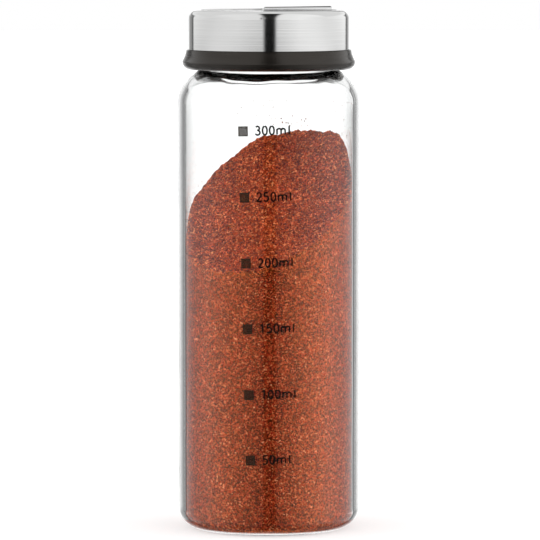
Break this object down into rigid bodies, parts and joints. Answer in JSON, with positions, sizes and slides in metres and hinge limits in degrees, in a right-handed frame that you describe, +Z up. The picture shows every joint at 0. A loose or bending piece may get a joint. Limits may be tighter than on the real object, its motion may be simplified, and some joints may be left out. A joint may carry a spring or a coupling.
{
  "type": "spice shaker jar",
  "caption": "Tall clear glass jar of ground red spice, with a black plastic screw collar, a steel shell and a turning shaker disc.",
  "frame": {"origin": "centre of the base, on the surface the jar stands on", "axes": "+Z up along the jar's axis, +Y to the back, +X to the right seen from the side with the measuring marks"},
  "size_m": [0.06, 0.06, 0.1725],
  "materials": {
    "glass": "clear, fire-polished",
    "spice": "ground dried red spice, fine and uneven grains",
    "collar": "moulded, satin black",
    "shell": "finely brushed along the rim",
    "disc": "brushed in circles",
    "rivet": "polished"
  },
  "bodies": {
    "jar": {"glass_jar": "glass", "spice_powder": "spice", "screw_collar": "collar", "steel_shell": "shell", "pivot_rivet": "rivet"},
    "disc": {"shaker_disc": "disc"}
  },
  "joints": [
    {"name": "disc_turn", "type": "hinge", "parent": "jar", "child": "disc", "pos_m": [0, 0, 0.1707], "axis": [0, 0, 1], "continuous": true}
  ]
}
